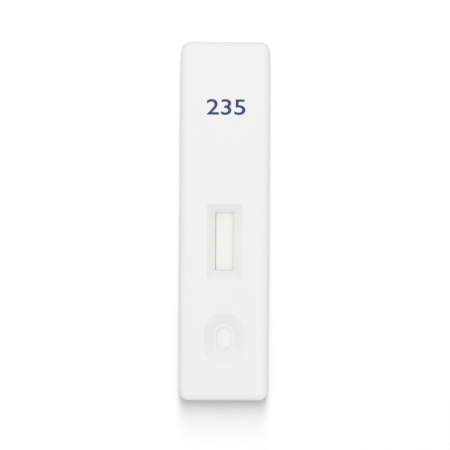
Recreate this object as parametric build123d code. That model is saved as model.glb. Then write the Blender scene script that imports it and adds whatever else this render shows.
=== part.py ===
from build123d import *
import os

# Lateral flow cassette: two white moulded shells pressed together round a paper test strip.
# Millimetres. X runs across the cassette, +Y towards its grip end, +Z out of its reading face.
# The origin is under the middle of the base, so the cassette lies on Z = 0.

# The strip, piece by piece from the sample end to the wick end
strip_width = 4.0
conjugate_pad_length = 8.0
membrane_length = 25.0
absorbent_pad_length = 16.7
pad_overlap = 2.0
pad_ramp = 0.6
card_thickness = 0.25
membrane_thickness = 0.15
conjugate_pad_thickness = 0.35
sample_pad_thickness = 0.5
absorbent_pad_thickness = 0.8

# The two shells
housing_width = 20.0
corner_radius = 2.2
draft_angle = 1.5
top_wall = 1.1
floor_wall = 0.9
tray_depth = 1.3
head_room = 1.0
sample_end_space = 5.5
grip_end_space = 14.5
top_edge_radius = 1.7
base_edge_radius = 0.6
seam_break = 0.12

# The joint between the shells: a lip on the lower one inside a rim on the upper one
rim_wall = 0.7
lip_wall = 0.45
lip_height = 0.5
shell_gap = 0.05

# Hexagonal press pins of the upper shell in round sockets of the lower one
socket_bore = 1.5
socket_wall = 0.75
socket_rise = 0.7
socket_to_wall = 0.4
web_thickness = 0.7
pin_shoulder_width = 2.6
pin_tip_gap = 0.2
pin_tip_chamfer = 0.3
pin_end_inset = 4.0
pin_rows = 4

# The bed that carries the strip
bed_height = 1.0
bed_rib_thickness = 0.8
bed_rib_pitch = 4.0
bed_end_inset = 1.5
rail_thickness = 0.7
rail_to_skirt = 0.1
channel_play = 0.08
strip_rest_gap = 0.03
strip_end_gap = 0.3
end_stop_thickness = 0.8

# The reading window, whose four slopes run down to a short straight throat
window_to_conjugate = 0.3
window_throat_width = 4.0
window_throat_length = 13.0
window_corner_radius = 0.25
window_slope_run = 1.95
window_land = 0.35
window_gap = 0.12
window_edge_radius = 0.1

# The sample well, an oval dish whose floor has a hole over the sample pad, narrower than the strip
well_drop_distance = 8.3
well_to_ramp = 1.4
well_rim_width = 9.1
well_rim_straight = 2.8
well_floor_width = 5.0
well_floor_straight = 1.4
well_floor_thickness = 0.35
well_hole_width = 3.3
well_hole_straight = 1.6
well_rim_radius = 0.3
well_floor_radius = 0.6
well_hole_radius = 0.15

# Under the ceiling: the skirts of both openings and the bars that press the pads together
skirt_wall = 0.8
bar_thickness = 0.8
bar_width = 6.0
end_bar_inset = 1.5

# Heights, from the base up
bed_top = floor_wall + bed_height
card_top = bed_top + card_thickness
membrane_top = card_top + membrane_thickness
conjugate_pad_top = card_top + conjugate_pad_thickness
sample_pad_top = card_top + sample_pad_thickness
absorbent_pad_top = card_top + absorbent_pad_thickness
ceiling = membrane_top + absorbent_pad_thickness + head_room
face = ceiling + top_wall
seam = floor_wall + tray_depth
socket_top = seam + socket_rise
window_skirt_bottom = membrane_top + window_gap
window_throat_top = window_skirt_bottom + window_land
well_floor_top = sample_pad_top + well_floor_thickness
rail_top = window_skirt_bottom - rail_to_skirt

# Places along the cassette
well_skirt_reach = (well_floor_straight + well_floor_width) / 2 + skirt_wall
sample_pad_length = well_drop_distance + well_skirt_reach + well_to_ramp + pad_ramp + pad_overlap
strip_length = (
    sample_pad_length + conjugate_pad_length + membrane_length + absorbent_pad_length
    - 3 * pad_overlap
)
housing_length = sample_end_space + strip_length + grip_end_space
strip_start = sample_end_space - housing_length / 2
strip_end = strip_start + strip_length
sample_pad_end = strip_start + sample_pad_length
conjugate_pad_start = sample_pad_end - pad_overlap
conjugate_pad_end = conjugate_pad_start + conjugate_pad_length
membrane_start = conjugate_pad_end - pad_overlap
membrane_end = membrane_start + membrane_length
absorbent_pad_start = membrane_end - pad_overlap
window_centre = conjugate_pad_end + window_to_conjugate + skirt_wall + window_throat_length / 2
well_centre = strip_start + well_drop_distance

# Places across the cassette
side_wall = rim_wall + shell_gap + lip_wall
channel_half_width = strip_width / 2 + channel_play
strip_centre = channel_play - strip_rest_gap
socket_radius = socket_bore / 2 + socket_wall
pin_offset = housing_width / 2 - side_wall - socket_to_wall - socket_radius


def outline(inset):
    """The housing's rounded rectangle, drawn a given distance inside its largest outline."""
    return RectangleRounded(
        housing_width - 2 * inset, housing_length - 2 * inset, corner_radius - inset
    )


def shell_block(depth, edge_radius):
    """Half of the housing as a solid block on the seam plane, with draft and a rounded far edge."""
    block = extrude(outline(0), amount=depth, taper=draft_angle)
    block = fillet(block.faces().sort_by(Axis.Z)[-1].edges(), edge_radius)
    return chamfer(block.faces().sort_by(Axis.Z)[0].edges(), seam_break)


def shell_cavity(depth):
    """The hollow inside half of the housing, on the seam plane, with the same draft as the outside."""
    return extrude(outline(side_wall), amount=depth, taper=draft_angle)


def box_between(x_ends, y_ends, z_ends):
    """A box given by its two ends along each axis."""
    sizes = [high - low for low, high in (x_ends, y_ends, z_ends)]
    corner = Pos(x_ends[0], y_ends[0], z_ends[0])
    return corner * Box(*sizes, align=(Align.MIN, Align.MIN, Align.MIN))


def cross_bar(centre_y, thickness, width, bottom, top):
    """A bar or rib that runs across the cassette."""
    return box_between(
        (-width / 2, width / 2),
        (centre_y - thickness / 2, centre_y + thickness / 2),
        (bottom, top),
    )


def pin_places():
    """The centre of each press pin: two columns, in rows spread evenly between the end rows."""
    row_pitch = (housing_length - 2 * pin_end_inset) / (pin_rows - 1)
    return GridLocations(2 * pin_offset, row_pitch, 2, pin_rows)


def upright(sketch, bottom, top):
    """A sketch extruded from one height to another."""
    return extrude(Pos(0, 0, bottom) * sketch, amount=top - bottom)


def slopes(foot, foot_height, rim):
    """A funnel with straight sides, from its foot up to its rim on the reading face."""
    return loft([Pos(0, 0, foot_height) * foot, Pos(0, 0, face) * rim], ruled=True)


def edges_at(solid, height):
    """The edges of a solid that lie at one height."""
    return solid.edges().filter_by_position(Axis.Z, height, height)


def window_outline(spread):
    """The window's rounded rectangle at its throat, or spread wider all round."""
    return RectangleRounded(
        window_throat_width + 2 * spread, window_throat_length + 2 * spread, window_corner_radius
    )


def window_opening():
    """The space inside the window: a straight throat under four slopes, with a softened lip."""
    opening = upright(window_outline(0), window_skirt_bottom, window_throat_top)
    opening += slopes(window_outline(0), window_throat_top, window_outline(window_slope_run))
    opening = fillet(edges_at(opening, window_throat_top), window_edge_radius)
    return Pos(0, window_centre, 0) * opening


def window_skirt():
    """The outside of the wall around the window, which hangs from the ceiling towards the strip."""
    foot = window_outline(skirt_wall)
    skirt = upright(foot, window_skirt_bottom, window_throat_top)
    skirt += slopes(foot, window_throat_top, window_outline(skirt_wall + window_slope_run))
    return Pos(0, window_centre, 0) * skirt


def oval(straight, width):
    """An oval along the cassette, from the length of its straight sides and its width."""
    return SlotCenterToCenter(straight, width, rotation=90)


def well_opening():
    """The space inside the well: a dish with a rounded floor, and the hole down to the sample pad."""
    dish = slopes(
        oval(well_floor_straight, well_floor_width), well_floor_top,
        oval(well_rim_straight, well_rim_width),
    )
    dish = fillet(edges_at(dish, well_floor_top), well_floor_radius)
    hole = upright(oval(well_hole_straight, well_hole_width), sample_pad_top, well_floor_top)
    opening = dish + hole
    opening = fillet(edges_at(opening, well_floor_top), well_hole_radius)
    return Pos(0, well_centre, 0) * opening


def well_skirt():
    """The outside of the dish, which stands on the sample pad."""
    foot = oval(well_floor_straight, well_floor_width + 2 * skirt_wall)
    skirt = upright(foot, sample_pad_top, well_floor_top)
    skirt += slopes(foot, well_floor_top, oval(well_rim_straight, well_rim_width + 2 * skirt_wall))
    return Pos(0, well_centre, 0) * skirt


def pressure_bars():
    """Bars from the ceiling to the pads: over each overlap, the sample end and the wick's middle."""
    tops = {
        strip_start + end_bar_inset: sample_pad_top,
        sample_pad_end - pad_overlap / 2: conjugate_pad_top + sample_pad_thickness,
        conjugate_pad_end - pad_overlap / 2: membrane_top + conjugate_pad_thickness,
        membrane_end - pad_overlap / 2: membrane_top + absorbent_pad_thickness,
        (membrane_end + strip_end) / 2: absorbent_pad_top,
    }
    return [
        cross_bar(place, bar_thickness, bar_width, pad_top, ceiling)
        for place, pad_top in tops.items()
    ]


def press_pin():
    """One pin under the ceiling: a round shoulder over the socket, and a hexagon that presses in it."""
    shoulder_bottom = socket_top + shell_gap
    tip = floor_wall + pin_tip_gap
    shoulder = upright(Circle(pin_shoulder_width / 2), shoulder_bottom, ceiling)
    shank = upright(RegularPolygon(socket_bore / 2, 6), tip, shoulder_bottom)
    return shoulder + chamfer(edges_at(shank, tip), pin_tip_chamfer)


def round_rim(shell, number, radius):
    """Rounds the edge of one opening in the reading face, counted from the sample end."""
    rims = shell.faces().sort_by(Axis.Z)[-1].inner_wires().sort_by(Axis.Y)
    return fillet(rims[number].edges(), radius)


def upper_housing():
    """The top shell, with the window, the well, the pressure bars and the press pins."""
    shell = Pos(0, 0, seam) * (
        shell_block(face - seam, top_edge_radius) - shell_cavity(ceiling - seam)
    )
    shell -= Pos(0, 0, seam) * extrude(outline(rim_wall), amount=lip_height + shell_gap)
    shell += [window_skirt(), well_skirt()]
    shell += pressure_bars()
    shell += [place * press_pin() for place in pin_places()]
    shell -= [window_opening(), well_opening()]
    shell = round_rim(shell, 0, well_rim_radius)
    return round_rim(shell, 1, window_edge_radius)


def socket():
    """One socket boss of the lower shell, tied to the side wall on its +X side by a web."""
    post = upright(Circle(socket_radius), floor_wall, socket_top)
    bore = upright(Circle(socket_bore / 2), floor_wall, socket_top)
    reach = socket_radius + socket_to_wall
    web = box_between((0, reach), (-web_thickness / 2, web_thickness / 2), (floor_wall, seam))
    return post + web - bore


def strip_bed():
    """Cross ribs under the strip, a guide rail along each side and a stop at each end."""
    rail_ends = (
        strip_start - strip_end_gap - end_stop_thickness,
        strip_end + strip_end_gap + end_stop_thickness,
    )
    rail_outside = channel_half_width + rail_thickness
    rails = [
        box_between(sides, rail_ends, (floor_wall, rail_top))
        for sides in ((-rail_outside, -channel_half_width), (channel_half_width, rail_outside))
    ]
    stops = [
        cross_bar(centre, end_stop_thickness, 2 * rail_outside, floor_wall, rail_top)
        for centre in (rail_ends[0] + end_stop_thickness / 2, rail_ends[1] - end_stop_thickness / 2)
    ]
    ribbed_length = strip_length - 2 * bed_end_inset
    rib_count = round(ribbed_length / bed_rib_pitch) + 1
    ribs = [
        cross_bar(
            strip_start + bed_end_inset + ribbed_length * number / (rib_count - 1),
            bed_rib_thickness, 2 * channel_half_width, floor_wall, bed_top,
        )
        for number in range(rib_count)
    ]
    return rails + stops + ribs


def lower_housing():
    """The bottom shell: a tray with a locating lip, the strip's bed and the sockets."""
    tray = shell_block(seam, base_edge_radius) - shell_cavity(seam - floor_wall)
    shell = Pos(0, 0, seam) * mirror(tray, about=Plane.XY)
    lip = outline(rim_wall + shell_gap) - outline(side_wall)
    shell += Pos(0, 0, seam) * extrude(lip, amount=lip_height)
    shell += strip_bed()
    shell += [
        place * Rot(0, 0, 0 if place.position.X > 0 else 180) * socket() for place in pin_places()
    ]
    return shell


def strip_piece(profile):
    """A piece of the strip, from its side profile in the YZ plane."""
    side_view = Plane.YZ * Polygon(*profile, align=None)
    return Pos(strip_centre, 0, 0) * extrude(side_view, amount=strip_width / 2, both=True)


def flat_piece(start, end, bottom, thickness):
    """A strip piece that lies flat on the card or on the bed."""
    top = bottom + thickness
    return strip_piece([(start, bottom), (end, bottom), (end, top), (start, top)])


def stepped_pad(far_end, step, tip, step_height, thickness):
    """A pad that lies on the card from its far end and climbs onto its neighbour up to its tip."""
    foot = step + (pad_ramp if far_end > step else -pad_ramp)
    lower_line = [(far_end, card_top), (foot, card_top), (step, step_height), (tip, step_height)]
    upper_line = [(y, z + thickness) for y, z in reversed(lower_line)]
    return strip_piece(lower_line + upper_line)


pieces = {
    "upper_housing": upper_housing(),
    "lower_housing": lower_housing(),
    "backing_card": flat_piece(strip_start, strip_end, bed_top, card_thickness),
    "membrane": flat_piece(membrane_start, membrane_end, card_top, membrane_thickness),
    "conjugate_pad": stepped_pad(
        conjugate_pad_start, membrane_start, conjugate_pad_end, membrane_top,
        conjugate_pad_thickness,
    ),
    "sample_pad": stepped_pad(
        strip_start, conjugate_pad_start, sample_pad_end, conjugate_pad_top, sample_pad_thickness
    ),
    "absorbent_pad": stepped_pad(
        strip_end, membrane_end, absorbent_pad_start, membrane_top, absorbent_pad_thickness
    ),
}

os.makedirs("parts", exist_ok=True)
for name, piece in pieces.items():
    export_step(piece, f"parts/{name}.step")
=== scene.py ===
import math
import bmesh
import bpy
from mathutils import Matrix, Vector, noise


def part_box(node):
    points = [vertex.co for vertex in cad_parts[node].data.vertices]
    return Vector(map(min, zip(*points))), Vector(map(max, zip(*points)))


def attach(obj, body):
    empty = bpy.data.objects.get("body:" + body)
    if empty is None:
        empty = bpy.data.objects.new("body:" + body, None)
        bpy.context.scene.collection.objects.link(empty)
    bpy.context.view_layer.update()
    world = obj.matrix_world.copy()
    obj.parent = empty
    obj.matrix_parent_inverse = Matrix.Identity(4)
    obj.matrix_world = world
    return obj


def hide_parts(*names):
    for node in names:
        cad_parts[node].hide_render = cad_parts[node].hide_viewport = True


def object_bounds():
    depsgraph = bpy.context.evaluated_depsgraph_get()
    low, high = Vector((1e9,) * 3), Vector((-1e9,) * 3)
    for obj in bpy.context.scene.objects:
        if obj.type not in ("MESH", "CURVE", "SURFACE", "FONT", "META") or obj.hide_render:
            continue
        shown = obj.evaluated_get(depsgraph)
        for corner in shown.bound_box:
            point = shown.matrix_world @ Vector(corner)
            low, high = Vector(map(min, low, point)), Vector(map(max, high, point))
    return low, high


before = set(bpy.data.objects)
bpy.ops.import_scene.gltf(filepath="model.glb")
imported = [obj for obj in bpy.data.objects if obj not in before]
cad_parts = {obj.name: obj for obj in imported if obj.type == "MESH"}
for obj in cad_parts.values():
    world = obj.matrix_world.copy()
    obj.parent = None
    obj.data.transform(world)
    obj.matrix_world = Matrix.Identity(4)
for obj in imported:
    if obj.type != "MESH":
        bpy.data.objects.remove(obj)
cad_low, cad_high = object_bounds()
mm = 0.001


# The bottom shell is injection moulded in white polystyrene. The tool's fine spark finish gives its
# faces a satin grain, and the flow of the melt leaves them very slightly wavy.
def add_node(tree, kind, settings=None, **inputs):
    """Adds a node to a tree, with its inputs set to values or linked to other nodes' outputs.

    An input goes by its name, or by its place where names repeat, as in _0 and _1.
    """
    made = tree.nodes.new(kind)
    for name, value in (settings or {}).items():
        setattr(made, name, value)
    for name, value in inputs.items():
        place = name[1:]
        socket = made.inputs[int(place) if place.isdigit() else name.replace("_", " ")]
        if isinstance(value, bpy.types.NodeSocket):
            tree.links.new(value, socket)
        else:
            socket.default_value = value
    return made


def maths(tree, operation, *values):
    """The result of a Math node."""
    inputs = {f"_{place}": value for place, value in enumerate(values)}
    return add_node(tree, "ShaderNodeMath", {"operation": operation}, **inputs).outputs[0]


def new_group(name, kind, inputs, outputs):
    """A node group with named sockets, given as (name, socket kind, value), and its two end nodes."""
    tree = bpy.data.node_groups.new(name, kind)
    for label, socket_kind, value in inputs:
        socket = tree.interface.new_socket(label, in_out="INPUT", socket_type=socket_kind)
        if value is not None:
            socket.default_value = value
    for label, socket_kind in outputs:
        tree.interface.new_socket(label, in_out="OUTPUT", socket_type=socket_kind)
    return tree, tree.nodes.new("NodeGroupInput").outputs, tree.nodes.new("NodeGroupOutput").inputs


def noise_of_size(tree, position, size, detail):
    """Noise whose blotches are about a given size across."""
    return add_node(
        tree, "ShaderNodeTexNoise", None,
        Vector=position, Scale=maths(tree, "DIVIDE", 1.0, size), Detail=detail,
    ).outputs["Fac"]


def mixed_colours(tree, share, first, second):
    """Two colours mixed by a share of the second."""
    return add_node(
        tree, "ShaderNodeMix", {"data_type": "RGBA"}, Factor=share, _6=first, _7=second,
    ).outputs[2]


surface_outputs = [
    ("Colour", "NodeSocketColor"), ("Roughness", "NodeSocketFloat"), ("Height", "NodeSocketFloat"),
]


def moulded_surface_group():
    """The look of a moulded face: grain, slow waves and a faint unevenness of colour and gloss."""
    tree, given, result = new_group(
        "moulded_surface", "ShaderNodeTree",
        [
            ("Position", "NodeSocketVector", None),
            ("Colour", "NodeSocketColor", (1, 1, 1, 1)),
            ("Shade", "NodeSocketColor", (1, 1, 1, 1)),
            ("Grain size", "NodeSocketFloat", 0.1),
            ("Grain depth", "NodeSocketFloat", 0.002),
            ("Wave size", "NodeSocketFloat", 8.0),
            ("Wave depth", "NodeSocketFloat", 0.004),
            ("Roughness", "NodeSocketFloat", 0.4),
            ("Roughness change", "NodeSocketFloat", 0.08),
        ],
        surface_outputs,
    )
    grain = noise_of_size(tree, given["Position"], given["Grain size"], 2.0)
    wave = noise_of_size(tree, given["Position"], given["Wave size"], 1.0)
    grain_height = maths(tree, "MULTIPLY", grain, given["Grain depth"])
    height = maths(tree, "MULTIPLY_ADD", wave, given["Wave depth"], grain_height)
    roughness = maths(tree, "MULTIPLY_ADD", grain, given["Roughness change"], given["Roughness"])
    tree.links.new(mixed_colours(tree, wave, given["Colour"], given["Shade"]), result["Colour"])
    tree.links.new(roughness, result["Roughness"])
    tree.links.new(height, result["Height"])
    return tree


def new_material(name):
    """An empty material, with its tree, its main shader and the position on the piece in millimetres."""
    material = bpy.data.materials.new(name)
    material.use_nodes = True
    tree = material.node_tree
    tree.nodes.clear()
    shader = tree.nodes.new("ShaderNodeBsdfPrincipled")
    add_node(tree, "ShaderNodeOutputMaterial", None, Surface=shader.outputs[0])
    place = tree.nodes.new("ShaderNodeTexCoord")
    position = add_node(
        tree, "ShaderNodeMapping", None, Vector=place.outputs["Object"], Scale=(1 / mm,) * 3,
    )
    return material, tree, shader, position.outputs[0]


def use_surface(tree, shader, position, group, extra_height=None, **values):
    """Places a surface group in a material and feeds the shader's colour, roughness and bump from it."""
    surface = add_node(tree, "ShaderNodeGroup", {"node_tree": group}, Position=position, **values)
    height = surface.outputs["Height"]
    if extra_height is not None:
        height = maths(tree, "ADD", height, extra_height)
    bump = add_node(tree, "ShaderNodeBump", None, Distance=mm, Height=height)
    tree.links.new(surface.outputs["Colour"], shader.inputs["Base Color"])
    tree.links.new(surface.outputs["Roughness"], shader.inputs["Roughness"])
    tree.links.new(bump.outputs[0], shader.inputs["Normal"])


def sink_marks(tree, position, depth):
    """The height of shallow dimples at the press pins, where thick plastic has sunk as it cooled."""
    pin_offset = 6.9
    pin_row_pitch = 24.0
    mark_radius = 1.9
    parts = add_node(tree, "ShaderNodeSeparateXYZ", None, Vector=position)
    across = maths(tree, "SUBTRACT", maths(tree, "ABSOLUTE", parts.outputs["X"]), pin_offset)
    along = maths(tree, "WRAP", parts.outputs["Y"], pin_row_pitch, 0.0)
    along = maths(tree, "SUBTRACT", along, pin_row_pitch / 2)
    flat = add_node(tree, "ShaderNodeCombineXYZ", None, X=across, Y=along, Z=0.0)
    reach = add_node(tree, "ShaderNodeVectorMath", {"operation": "LENGTH"}, _0=flat.outputs[0])
    return add_node(
        tree, "ShaderNodeMapRange", {"interpolation_type": "SMOOTHERSTEP"},
        Value=reach.outputs["Value"], From_Min=0.0, From_Max=mark_radius, To_Min=-depth, To_Max=0.0,
    ).outputs[0]


def moulded_white(name, sink_depth):
    """White polystyrene with a mould finish, and with sink marks of a given depth."""
    polystyrene_ior = 1.57
    material, tree, shader, position = new_material(name)
    use_surface(
        tree, shader, position, moulded_surface, extra_height=sink_marks(tree, position, sink_depth),
        Colour=(0.885, 0.89, 0.868, 1), Shade=(0.872, 0.876, 0.856, 1),
        Grain_size=0.12, Grain_depth=0.0015, Wave_size=9.0, Wave_depth=0.006,
        Roughness=0.36, Roughness_change=0.1,
    )
    shader.inputs["IOR"].default_value = polystyrene_ior
    return material


def wear(node_name, material):
    """Gives a part from the frame its material."""
    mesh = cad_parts[node_name].data
    mesh.materials.clear()
    mesh.materials.append(material)


moulded_surface = moulded_surface_group()
wear("lower_housing", moulded_white("white_plastic_of_the_base", sink_depth=0.006))


# The card under the strip is a stiff white film with adhesive on its upper side. It is cut to width
# on a guillotine together with everything that is stuck to it.
card_film, tree, shader, position = new_material("white_card_film")
use_surface(
    tree, shader, position, moulded_surface,
    Colour=(0.86, 0.862, 0.85, 1), Shade=(0.84, 0.842, 0.828, 1),
    Grain_size=0.05, Grain_depth=0.0006, Wave_size=3.0, Wave_depth=0.001,
    Roughness=0.28, Roughness_change=0.06,
)
wear("backing_card", card_film)


# The membrane is nitrocellulose cast on a clear film: a chalky, slightly warm white with pores too
# fine to see. It is stuck to the middle of the card, and its cut edges are a little rounded.
def cut_rim(across, through):
    """The rim of a strip piece cut across: each point's place on a square, and its way outwards."""
    corner_steps = 3
    rim = []
    corners = [(1, 1), (-1, 1), (-1, -1), (1, -1)]
    for quarter, (corner, following) in enumerate(zip(corners, corners[1:] + corners[:1])):
        for step in range(corner_steps + 1):
            angle = math.radians(90 * (quarter + step / corner_steps))
            outwards = (math.cos(angle), math.sin(angle))
            rim.append((corner, outwards))
        run_steps = through if quarter % 2 else across
        for step in range(1, run_steps):
            place = [a + (b - a) * step / run_steps for a, b in zip(corner, following)]
            rim.append((place, outwards))
    return rim


def height_along(line, y):
    """The height of a line of (y, z) points at one place along the strip."""
    for (start, start_z), (end, end_z) in zip(line, line[1:]):
        if y <= end:
            return start_z + (end_z - start_z) * (y - start) / (end - start)
    return line[-1][1]


def strip_mesh(name, underside, thickness, softness, spacing, unevenness):
    """A strip piece as a skin over cut sections, which lies unevenly just inside the plain solid.

    Softness is the radius of the cut edges. Unevenness is the share of it by which they may be dented.
    """
    turn_angles = (0, 30, 60)
    coarse_size = 5 * spacing
    fine_size = 1.5 * spacing
    mean_dent = 0.5
    coarse_dent = 0.3
    fine_dent = 0.2
    low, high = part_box("backing_card")
    middle_x = (low.x + high.x) / 2
    inner_half_width = (high.x - low.x) / 2 - softness
    inner_half_thickness = thickness / 2 - softness
    rim = cut_rim(
        across=round(2 * inner_half_width / spacing),
        through=max(1, round(2 * inner_half_thickness / spacing)),
    )
    start, end = underside[0][0], underside[-1][0]
    steps = round((end - start) / spacing)
    turns = [softness * (1 - math.cos(math.radians(angle))) for angle in turn_angles]
    places = [start + turn for turn in turns]
    places += [start + softness + (end - start - 2 * softness) * n / steps for n in range(steps + 1)]
    places += [end - turn for turn in reversed(turns)]
    made = bmesh.new()
    rings = []
    for y in places:
        from_end = min(y - start, end - y, softness)
        radius = math.sqrt(softness ** 2 - (softness - from_end) ** 2)
        middle_z = height_along(underside, y) + thickness / 2
        ring = []
        for (across, up), (out_x, out_z) in rim:
            x = middle_x + across * inner_half_width
            z = middle_z + up * inner_half_thickness
            coarse = noise.noise(Vector((x, y, z)) / coarse_size)
            fine = noise.noise(Vector((x, y, z)) / fine_size)
            dent = mean_dent + coarse_dent * coarse + fine_dent * fine
            reach = radius * (1 - unevenness * dent)
            ring.append(made.verts.new((x + out_x * reach, y, z + out_z * reach)))
        rings.append(ring)
    for ring, following in zip(rings, rings[1:]):
        for place, corner in enumerate(ring):
            made.faces.new((corner, ring[place - 1], following[place - 1], following[place]))
    made.faces.new(rings[0])
    made.faces.new(list(reversed(rings[-1])))
    bmesh.ops.recalc_face_normals(made, faces=made.faces)
    for face in made.faces:
        face.smooth = len(face.verts) == 4
    mesh = bpy.data.meshes.new(name)
    made.to_mesh(mesh)
    made.free()
    return mesh


def show_instead(name, mesh, node_name):
    """Shows a mesh in place of a part from the frame, riding on the same body."""
    piece = bpy.data.objects.new(name, mesh)
    bpy.context.scene.collection.objects.link(piece)
    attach(piece, "root")
    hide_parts(node_name)


membrane_low, membrane_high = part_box("membrane")
membrane_mesh = strip_mesh(
    "membrane_sheet",
    underside=[(membrane_low.y, membrane_low.z), (membrane_high.y, membrane_low.z)],
    thickness=membrane_high.z - membrane_low.z,
    softness=0.03 * mm, spacing=0.25 * mm, unevenness=0.2,
)
membrane_chalk, tree, shader, position = new_material("membrane_chalk")
use_surface(
    tree, shader, position, moulded_surface,
    Colour=(0.94, 0.943, 0.905, 1), Shade=(0.918, 0.922, 0.88, 1),
    Grain_size=0.06, Grain_depth=0.004, Wave_size=5.0, Wave_depth=0.002,
    Roughness=0.82, Roughness_change=0.1,
)
membrane_mesh.materials.append(membrane_chalk)
show_instead("membrane_sheet", membrane_mesh, "membrane")


# The three pads are felted fibre, cut from rolls and laid on the card so that each overlaps the next
# piece: thin glass fibre under the window's edge, pressed cotton below the well, a thick wick beyond.
def fibre_felt_group():
    """The look of felted fibre: fine ridges that cross in three directions, and soft clumps, with shade
    painted darker between the ridges.
    """
    tree, given, result = new_group(
        "fibre_felt", "ShaderNodeTree",
        [
            ("Position", "NodeSocketVector", None),
            ("Colour", "NodeSocketColor", (1, 1, 1, 1)),
            ("Shade", "NodeSocketColor", (1, 1, 1, 1)),
            ("Fibre width", "NodeSocketFloat", 0.03),
            ("Fibre depth", "NodeSocketFloat", 0.012),
            ("Clump size", "NodeSocketFloat", 1.2),
            ("Clump depth", "NodeSocketFloat", 0.03),
            ("Roughness", "NodeSocketFloat", 0.85),
        ],
        surface_outputs,
    )
    fibre_stretch = 9.0
    fibre_headings = (15, 75, 140)
    ridges = None
    for heading in fibre_headings:
        turned = add_node(
            tree, "ShaderNodeMapping", None, Vector=given["Position"],
            Rotation=(0, 0, math.radians(heading)), Scale=(1 / fibre_stretch, 1, 1),
        )
        threads = noise_of_size(tree, turned.outputs[0], given["Fibre width"], 1.0)
        ridges = threads if ridges is None else maths(tree, "MAXIMUM", ridges, threads)
    clumps = noise_of_size(tree, given["Position"], given["Clump size"], 2.0)
    fibre_height = maths(tree, "MULTIPLY", ridges, given["Fibre depth"])
    height = maths(tree, "MULTIPLY_ADD", clumps, given["Clump depth"], fibre_height)
    # Painted shade: the colour turns to the darker Shade where the ridges are low, in the hollows
    # between the fibres.
    painted_shade_between_ridges = maths(tree, "SUBTRACT", 1.0, ridges)
    tree.links.new(mixed_colours(tree, painted_shade_between_ridges, given["Colour"], given["Shade"]), result["Colour"])
    tree.links.new(given["Roughness"], result["Roughness"])
    tree.links.new(height, result["Height"])
    return tree


def strewn_lines(tree, given):
    """Straight lines strewn over a pad's upper faces, each with its own heading and length."""
    upward_from = 0.9
    points_of_a_line = 7
    shortest = 0.5
    longest = 1.2
    normal = tree.nodes.new("GeometryNodeInputNormal")
    facing = add_node(tree, "ShaderNodeSeparateXYZ", None, Vector=normal.outputs[0])
    upward = add_node(
        tree, "FunctionNodeCompare", {"data_type": "FLOAT", "operation": "GREATER_THAN"},
        _0=facing.outputs["Z"], _1=upward_from,
    )
    places = add_node(
        tree, "GeometryNodeDistributePointsOnFaces", None,
        Mesh=given["Pad"], Selection=upward.outputs[0], Seed=given["Seed"],
        Density=maths(tree, "DIVIDE", given["Fibres per square mm"], mm ** 2),
    )
    half_length = maths(tree, "MULTIPLY", given["Fibre length"], 0.5)
    ends = [
        add_node(tree, "ShaderNodeCombineXYZ", None, X=reach).outputs[0]
        for reach in (maths(tree, "MULTIPLY", half_length, -1.0), half_length)
    ]
    line = add_node(tree, "GeometryNodeCurvePrimitiveLine", None, Start=ends[0], End=ends[1])
    line = add_node(
        tree, "GeometryNodeResampleCurve", None, Curve=line.outputs[0], Count=points_of_a_line,
    )
    heading = add_node(
        tree, "FunctionNodeRandomValue", {"data_type": "FLOAT"}, _2=0.0, _3=math.tau, Seed=given["Seed"],
    )
    turned = add_node(tree, "ShaderNodeCombineXYZ", None, Z=heading.outputs[1])
    grown = add_node(
        tree, "FunctionNodeRandomValue", {"data_type": "FLOAT"}, _2=shortest, _3=longest,
        Seed=maths(tree, "ADD", given["Seed"], 1.0),
    )
    strewn = add_node(
        tree, "GeometryNodeInstanceOnPoints", None, Points=places.outputs[0],
        Instance=line.outputs[0], Rotation=turned.outputs[0], Scale=grown.outputs[1],
    )
    return add_node(tree, "GeometryNodeRealizeInstances", None, Geometry=strewn.outputs[0]).outputs[0]


def bent_lines(tree, given, lines):
    """Lines bent by noise, mostly sideways and a little upwards, and kept between two corners."""
    noise_middle = (0.5, 0.5, 0.48)
    share_of_each_way = (1.0, 1.0, 0.15)

    def vector_maths(operation, first, **second):
        """The result of a Vector Math node."""
        return add_node(
            tree, "ShaderNodeVectorMath", {"operation": operation}, _0=first, **second
        ).outputs[0]

    place = tree.nodes.new("GeometryNodeInputPosition").outputs[0]
    drift = add_node(
        tree, "ShaderNodeTexNoise", None, Vector=place, Detail=1.0,
        Scale=maths(tree, "DIVIDE", 1.0, given["Bend size"]),
    )
    bend = vector_maths("SUBTRACT", drift.outputs["Color"], _1=noise_middle)
    bend = vector_maths("MULTIPLY", bend, _1=share_of_each_way)
    bend = vector_maths("SCALE", bend, Scale=given["Bend"])
    moved = vector_maths("ADD", place, _1=bend)
    moved = vector_maths("MAXIMUM", moved, _1=given["Lowest corner"])
    moved = vector_maths("MINIMUM", moved, _1=given["Highest corner"])
    return add_node(tree, "GeometryNodeSetPosition", None, Geometry=lines, Position=moved).outputs[0]


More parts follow.
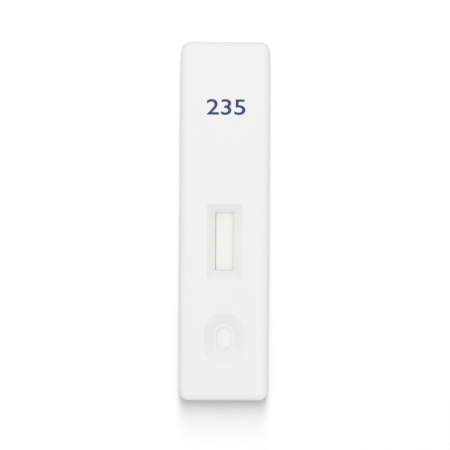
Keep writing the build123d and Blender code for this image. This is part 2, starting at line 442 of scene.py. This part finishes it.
def loose_fibres_tree():
    """A tree that makes short bent fibres, strewn over a pad's upper faces."""
    fibre_sides = 4
    tree, given, result = new_group(
        "loose_fibres", "GeometryNodeTree",
        [
            ("Pad", "NodeSocketGeometry", None),
            ("Fibres per square mm", "NodeSocketFloat", 16.0),
            ("Fibre length", "NodeSocketFloat", 0.9 * mm),
            ("Fibre radius", "NodeSocketFloat", 0.008 * mm),
            ("Bend", "NodeSocketFloat", 0.35 * mm),
            ("Bend size", "NodeSocketFloat", 0.5 * mm),
            ("Lowest corner", "NodeSocketVector", None),
            ("Highest corner", "NodeSocketVector", None),
            ("Felt", "NodeSocketMaterial", None),
            ("Seed", "NodeSocketInt", 1),
        ],
        [("Fibres", "NodeSocketGeometry")],
    )
    lines = bent_lines(tree, given, strewn_lines(tree, given))
    profile = add_node(
        tree, "GeometryNodeCurvePrimitiveCircle", None,
        Resolution=fibre_sides, Radius=given["Fibre radius"],
    )
    fibres = add_node(
        tree, "GeometryNodeCurveToMesh", None,
        Curve=lines, Profile_Curve=profile.outputs[0], Fill_Caps=True,
    )
    whole = add_node(tree, "GeometryNodeRealizeInstances", None, Geometry=fibres.outputs[0])
    dressed = add_node(
        tree, "GeometryNodeSetMaterial", None, Geometry=whole.outputs[0], Material=given["Felt"],
    )
    tree.links.new(dressed.outputs[0], result["Fibres"])
    return tree


def run_tree(mesh, tree, **values):
    """The mesh that a geometry tree makes from another, with the tree's inputs set by their names."""
    source = bpy.data.objects.new("tree_source", mesh)
    bpy.context.scene.collection.objects.link(source)
    modifier = source.modifiers.new("tree", "NODES")
    modifier.node_group = tree
    for socket in tree.interface.items_tree:
        value = values.get(socket.name.replace(" ", "_"))
        if value is not None:
            modifier[socket.identifier] = value
    graph = bpy.context.evaluated_depsgraph_get()
    made = bpy.data.meshes.new_from_object(source.evaluated_get(graph))
    source.modifiers.remove(modifier)
    bpy.data.objects.remove(source)
    return made


def lay_pad(node_name, neighbour_name, thickness, felt, **fibre_sizes):
    """One pad with its loose fibres. It lies on the card and climbs onto its neighbour's end."""
    ramp = 0.6 * mm
    fibre_margin = 0.01 * mm
    low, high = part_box(node_name)
    neighbour_low, neighbour_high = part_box(neighbour_name)
    step_height = high.z - thickness
    if low.y < neighbour_low.y:
        edge = neighbour_low.y
        underside = [(low.y, low.z), (edge - ramp, low.z), (edge, step_height), (high.y, step_height)]
    else:
        edge = neighbour_high.y
        underside = [(low.y, step_height), (edge, step_height), (edge + ramp, low.z), (high.y, low.z)]
    mesh = strip_mesh(
        node_name + "_felt", underside, thickness,
        softness=0.1 * mm, spacing=0.2 * mm, unevenness=0.5,
    )
    mesh.materials.append(felt)
    margin = Vector((fibre_margin,) * 3)
    fibres = run_tree(
        mesh, loose_fibres, Felt=felt, Lowest_corner=low + margin, Highest_corner=high - margin,
        **fibre_sizes,
    )
    made = bmesh.new()
    for part in (mesh, fibres):
        made.from_mesh(part)
    made.to_mesh(mesh)
    made.free()
    show_instead(node_name + "_felt", mesh, node_name)


fibre_felt = fibre_felt_group()
loose_fibres = loose_fibres_tree()

glass_felt, tree, shader, position = new_material("glass_fibre_felt")
use_surface(
    tree, shader, position, fibre_felt,
    Colour=(0.93, 0.93, 0.915, 1), Shade=(0.885, 0.885, 0.865, 1),
    Fibre_width=0.02, Fibre_depth=0.008, Clump_size=0.9, Clump_depth=0.02, Roughness=0.7,
)
lay_pad(
    "conjugate_pad", neighbour_name="membrane", thickness=0.35 * mm, felt=glass_felt,
    Fibres_per_square_mm=14.0, Fibre_length=1.2 * mm, Fibre_radius=0.006 * mm, Seed=3,
)

cotton_felt, tree, shader, position = new_material("pressed_cotton_felt")
use_surface(
    tree, shader, position, fibre_felt,
    Colour=(0.95, 0.95, 0.938, 1), Shade=(0.912, 0.912, 0.895, 1),
    Fibre_width=0.03, Fibre_depth=0.012, Clump_size=1.3, Clump_depth=0.03, Roughness=0.88,
)
lay_pad(
    "sample_pad", neighbour_name="conjugate_pad", thickness=0.5 * mm, felt=cotton_felt,
    Fibres_per_square_mm=16.0, Fibre_length=0.9 * mm, Fibre_radius=0.008 * mm, Seed=5,
)
lay_pad(
    "absorbent_pad", neighbour_name="membrane", thickness=0.8 * mm, felt=cotton_felt,
    Fibres_per_square_mm=12.0, Fibre_length=1.0 * mm, Fibre_radius=0.01 * mm, Seed=8,
)


# The top shell is moulded in the same white. Over each press pin the thick plastic has sunk a little,
# which shows as faint spots near both long edges.
wear("upper_housing", moulded_white("white_plastic_of_the_top", sink_depth=0.012))


# Three plain numerals are pad printed on the face at the grip end, in dark blue ink. The silicone pad
# lays down one thin even layer, which dries with a slight gloss.
def printed_numerals(numerals, boldness, height, width, centre, ink_depth):
    """Numerals as a thin closed layer of ink that lies half in the face."""
    steps_of_a_curve = 6
    depth_before_scaling = 0.5
    weld_distance = 0.0005 * mm
    text = bpy.data.curves.new("numerals_text", "FONT")
    text.body = numerals
    text.extrude = depth_before_scaling
    text.offset = boldness
    text.resolution_u = steps_of_a_curve
    source = bpy.data.objects.new("numerals_text", text)
    bpy.context.scene.collection.objects.link(source)
    graph = bpy.context.evaluated_depsgraph_get()
    mesh = bpy.data.meshes.new_from_object(source.evaluated_get(graph))
    bpy.data.objects.remove(source)
    points = [vertex.co for vertex in mesh.vertices]
    low, high = (Vector(map(pick, *points)) for pick in (min, max))
    size = high - low
    mesh.transform(
        Matrix.Translation(centre)
        @ Matrix.Diagonal((width / size.x, height / size.y, ink_depth / size.z, 1))
        @ Matrix.Translation(-(low + high) / 2)
    )
    made = bmesh.new()
    made.from_mesh(mesh)
    bmesh.ops.remove_doubles(made, verts=made.verts, dist=weld_distance)
    bmesh.ops.recalc_face_normals(made, faces=made.faces)
    made.to_mesh(mesh)
    made.free()
    mesh.name = "number_print"
    return mesh


print_mesh = printed_numerals(
    "235", boldness=0.01, height=3.5 * mm, width=8.6 * mm,
    centre=Vector((0.12 * mm, 25.27 * mm, cad_high.z)), ink_depth=0.012 * mm,
)
blue_ink, tree, shader, position = new_material("blue_pad_ink")
use_surface(
    tree, shader, position, moulded_surface,
    Colour=(0.02, 0.04, 0.145, 1), Shade=(0.028, 0.05, 0.175, 1),
    Grain_size=0.09, Grain_depth=0.001, Wave_size=0.8, Wave_depth=0.001,
    Roughness=0.42, Roughness_change=0.1,
)
print_mesh.materials.append(blue_ink)
number_print = bpy.data.objects.new("number_print", print_mesh)
bpy.context.scene.collection.objects.link(number_print)
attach(number_print, "root")


# The studio: a pale paper floor, a soft even dome and one soft lamp high over the grip end. The floor
# has a lamp of its own, as a backdrop has, which gives it the object's soft shadow.
floor_size = 6.0
paper_grey = 0.115
paper_grey_seen = 0.23
paper_glow_seen = 0.28
dome_strength = 0.925
dome_strength_seen = 1.0
floor_mesh = bpy.data.meshes.new("floor")
half = floor_size / 2
corners = [(-half, -half, 0), (half, -half, 0), (half, half, 0), (-half, half, 0)]
floor_mesh.from_pydata(corners, [], [(0, 1, 2, 3)])
floor = bpy.data.objects.new("floor", floor_mesh)
bpy.context.scene.collection.objects.link(floor)

paper = bpy.data.materials.new("floor_paper")
paper.use_nodes = True
tree = paper.node_tree
tree.nodes.clear()
ray = tree.nodes.new("ShaderNodeLightPath").outputs
seen = maths(tree, "MAXIMUM", ray["Is Camera Ray"], ray["Is Glossy Ray"])
seen = maths(tree, "MAXIMUM", seen, ray["Is Transmission Ray"])
paper_colour = mixed_colours(
    tree, seen,
    first=(paper_grey, paper_grey, paper_grey, 1),
    second=(paper_grey_seen, paper_grey_seen, paper_grey_seen, 1),
)
paper_shader = add_node(tree, "ShaderNodeBsdfDiffuse", None, Color=paper_colour)
glow = add_node(
    tree, "ShaderNodeEmission", None, Strength=maths(tree, "MULTIPLY", seen, paper_glow_seen),
)
both = add_node(tree, "ShaderNodeAddShader", None, _0=paper_shader.outputs[0], _1=glow.outputs[0])
add_node(tree, "ShaderNodeOutputMaterial", None, Surface=both.outputs[0])
floor_mesh.materials.append(paper)

world = bpy.data.worlds.new("studio_dome")
bpy.context.scene.world = world
world.use_nodes = True
tree = world.node_tree
tree.nodes.clear()
ray = tree.nodes.new("ShaderNodeLightPath").outputs
seen = maths(tree, "MAXIMUM", ray["Is Camera Ray"], ray["Is Transmission Ray"])
level = add_node(
    tree, "ShaderNodeMapRange", None, Value=seen, To_Min=dome_strength, To_Max=dome_strength_seen,
)
dome = add_node(tree, "ShaderNodeBackground", None, Color=(1, 1, 1, 1), Strength=level.outputs[0])
add_node(tree, "ShaderNodeOutputWorld", None, Surface=dome.outputs[0])


def soft_lamp(name, place, width, length, power):
    """A rectangular soft lamp that faces the middle of the object, its length in the YZ plane."""
    light = bpy.data.lights.new(name, "AREA")
    light.shape = "RECTANGLE"
    light.size = width
    light.size_y = length
    light.energy = power
    lamp = bpy.data.objects.new(name, light)
    lamp.location = place
    lamp.rotation_euler = (-Vector(place)).to_track_quat("-Z", "Y").to_euler()
    bpy.context.scene.collection.objects.link(lamp)
    return lamp


soft_lamp("key_lamp", place=(-0.06, 0.24, 0.435), width=0.27, length=0.27, power=0.21)
floor_lamp = soft_lamp("floor_lamp", place=(0.0, 0.55, 0.72), width=0.25, length=1.06, power=29.0)
lit_by_floor_lamp = bpy.data.collections.new("lit_by_floor_lamp")
lit_by_floor_lamp.objects.link(floor)
floor_lamp.light_linking.receiver_collection = lit_by_floor_lamp


# The camera looks almost straight down on the reading face, as the photograph does, from so far off
# that the sides hardly spread.
camera_distance = 0.25
camera_lens = 89.32
camera_lean = math.radians(1.0)
camera_roll = math.radians(0.38)
nearest_seen = 0.01
aim = Vector((0.11 * mm, -0.87 * mm, 2.6 * mm))
camera = bpy.data.objects.new("camera", bpy.data.cameras.new("camera"))
bpy.context.scene.collection.objects.link(camera)
bpy.context.scene.camera = camera
camera.data.lens = camera_lens
camera.data.clip_start = nearest_seen
back = Vector((-math.sin(camera_lean), 0, math.cos(camera_lean)))
side = Vector((0, 1, 0)).cross(back).normalized()
turn = Matrix((side, back.cross(side), back)).transposed().to_4x4()
camera.matrix_world = (
    Matrix.Translation(aim + back * camera_distance) @ turn @ Matrix.Rotation(camera_roll, 4, "Z")
)
bpy.context.scene.view_settings.view_transform = "Standard"
